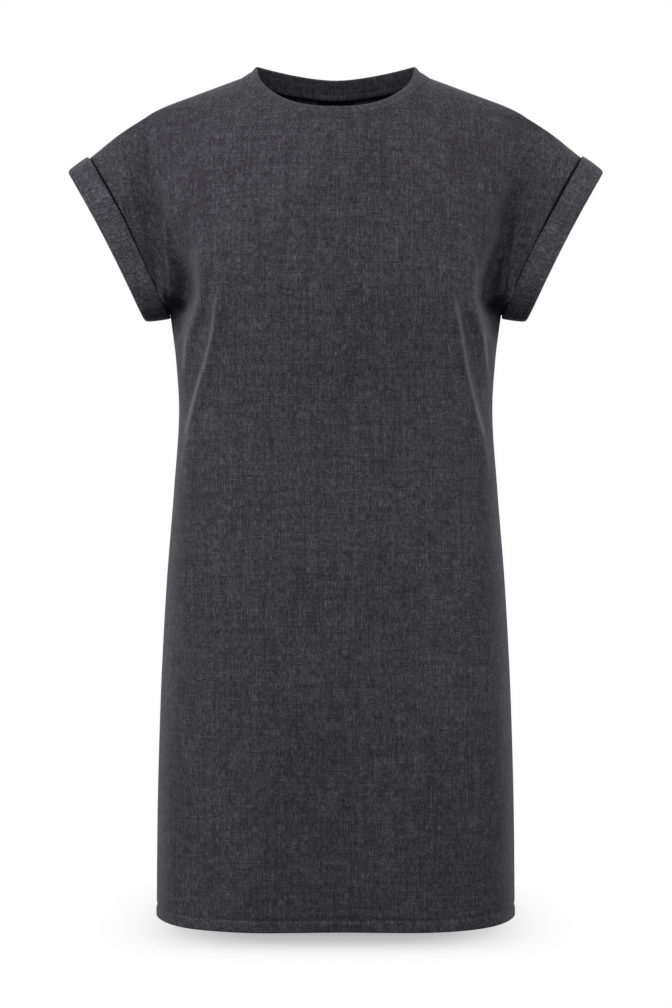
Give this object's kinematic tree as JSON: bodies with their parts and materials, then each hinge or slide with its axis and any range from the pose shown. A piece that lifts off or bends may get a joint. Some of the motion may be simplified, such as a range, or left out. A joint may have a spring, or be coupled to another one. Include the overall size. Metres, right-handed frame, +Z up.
{
  "type": "t-shirt dress",
  "caption": "Short marl jersey t-shirt dress with grown-on half sleeves, turned-back cuffs and a ribbed round neck, filled out hollow as if worn.",
  "frame": {"origin": "between the two shoulder seams, level with their neck ends, where the wearer's shoulders hold the dress", "axes": "+Z up towards the neck, -Y the front, +X towards the wearer's left side"},
  "size_m": [0.5434, 0.2263, 0.8628],
  "materials": {
    "jersey": "charcoal marl jersey, matt",
    "rib": "charcoal marl rib, matt",
    "label": "plain black woven satin"
  },
  "bodies": {
    "root": {"front_panel": "jersey", "back_panel": "jersey", "neck_band": "rib", "right_cuff": "jersey", "left_cuff": "jersey", "neck_label": "label"}
  },
  "joints": []
}
